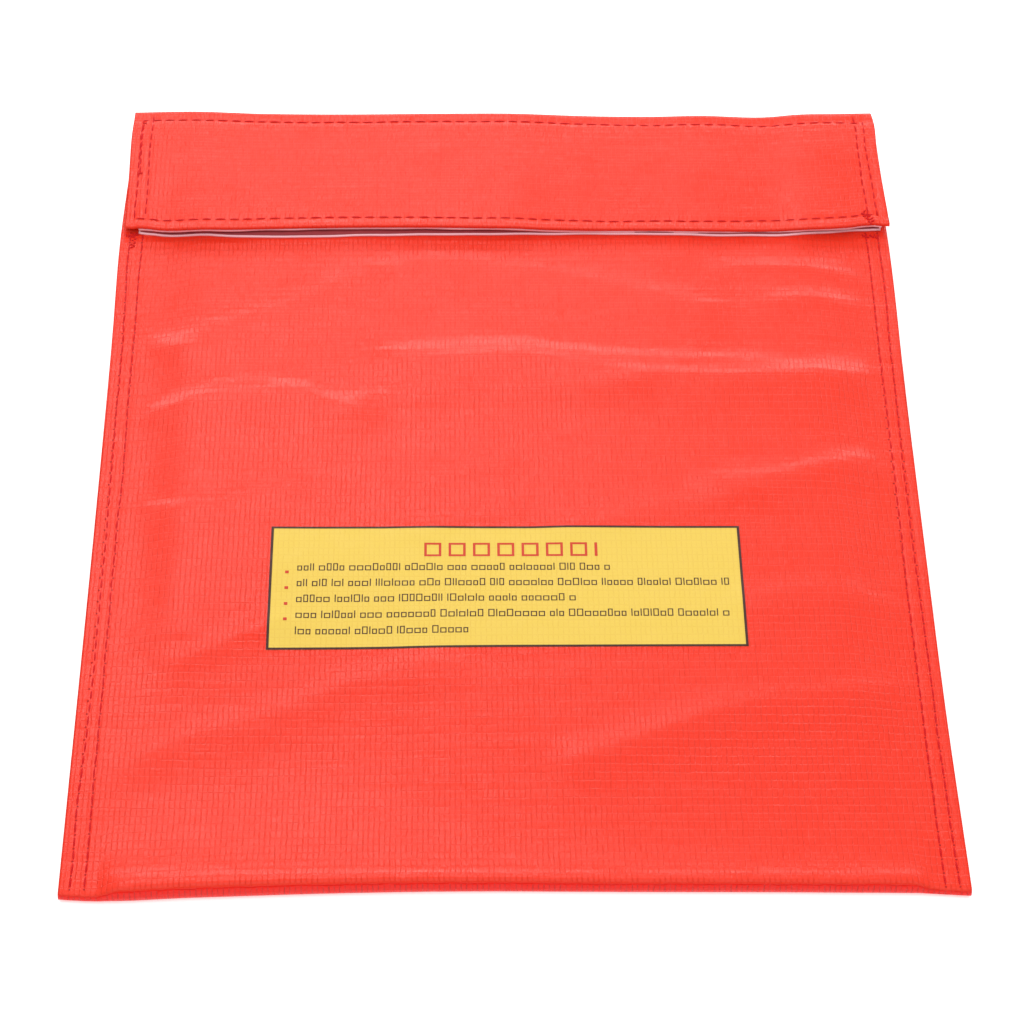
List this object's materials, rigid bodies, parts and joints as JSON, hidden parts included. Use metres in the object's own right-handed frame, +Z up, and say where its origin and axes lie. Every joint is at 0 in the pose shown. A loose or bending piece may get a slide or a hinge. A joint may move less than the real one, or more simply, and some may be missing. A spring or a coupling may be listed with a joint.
{
  "type": "charging bag",
  "caption": "Flat rectangular fire-resistant cloth pouch with a fold-over hook-and-loop flap, for charging and storing lithium battery packs.",
  "frame": {"origin": "middle of the bag's outline on the surface that it lies on, back panel down", "axes": "+X across the bag to the right, +Y from the bottom fold to the flap's crease, +Z up through the front panel"},
  "size_m": [0.23, 0.3, 0.0104],
  "materials": {
    "red_cloth": "coral red coated glass cloth, low sheen",
    "glass_cloth": "white woven glass fibre, matte",
    "loop_pile": "napped loops, matte",
    "hook_pile": "moulded hooks on woven tape",
    "red_thread": "twisted sewing thread",
    "white_thread": "twisted sewing thread",
    "yellow_ink": "screen-printed ink",
    "brown_ink": "screen-printed ink",
    "red_ink": "screen-printed ink"
  },
  "bodies": {
    "pouch": {"pouch_shell": "red_cloth", "pouch_lining": "glass_cloth", "loop_tape": "loop_pile", "loop_tape_thread": "white_thread", "left_outer_seam_needle_thread": "red_thread", "left_outer_seam_bobbin_thread": "red_thread", "left_inner_seam_needle_thread": "red_thread", "left_inner_seam_bobbin_thread": "red_thread", "right_outer_seam_needle_thread": "red_thread", "right_outer_seam_bobbin_thread": "red_thread", "right_inner_seam_needle_thread": "red_thread", "right_inner_seam_bobbin_thread": "red_thread", "label_field": "yellow_ink", "label_rule": "brown_ink", "label_heading_bar": "red_ink", "label_line_1": "brown_ink", "label_line_2": "brown_ink", "label_line_3": "brown_ink", "label_line_4": "brown_ink", "label_line_5": "brown_ink", "label_bullet_1": "red_ink", "label_bullet_2": "red_ink", "label_bullet_3": "red_ink", "label_bullet_4": "red_ink"},
    "fold": {"fold_strip": "red_cloth"},
    "flap": {"flap_panel": "red_cloth", "hook_tape": "hook_pile", "flap_seam_thread": "red_thread", "left_flap_hem_thread": "red_thread", "right_flap_hem_thread": "red_thread"}
  },
  "joints": [
    {"name": "back_crease", "type": "hinge", "parent": "pouch", "child": "fold", "pos_m": [0, 0.1497, 0.0003], "axis": [-1, 0, 0], "range_deg": [0, 90]},
    {"name": "flap_crease", "type": "hinge", "parent": "fold", "child": "flap", "pos_m": [0, 0.1497, 0.0095], "axis": [-1, 0, 0], "range_deg": [0, 90]}
  ],
  "couplings": [
    {"joint": "back_crease", "follows": "flap_crease", "ratio": 1}
  ]
}
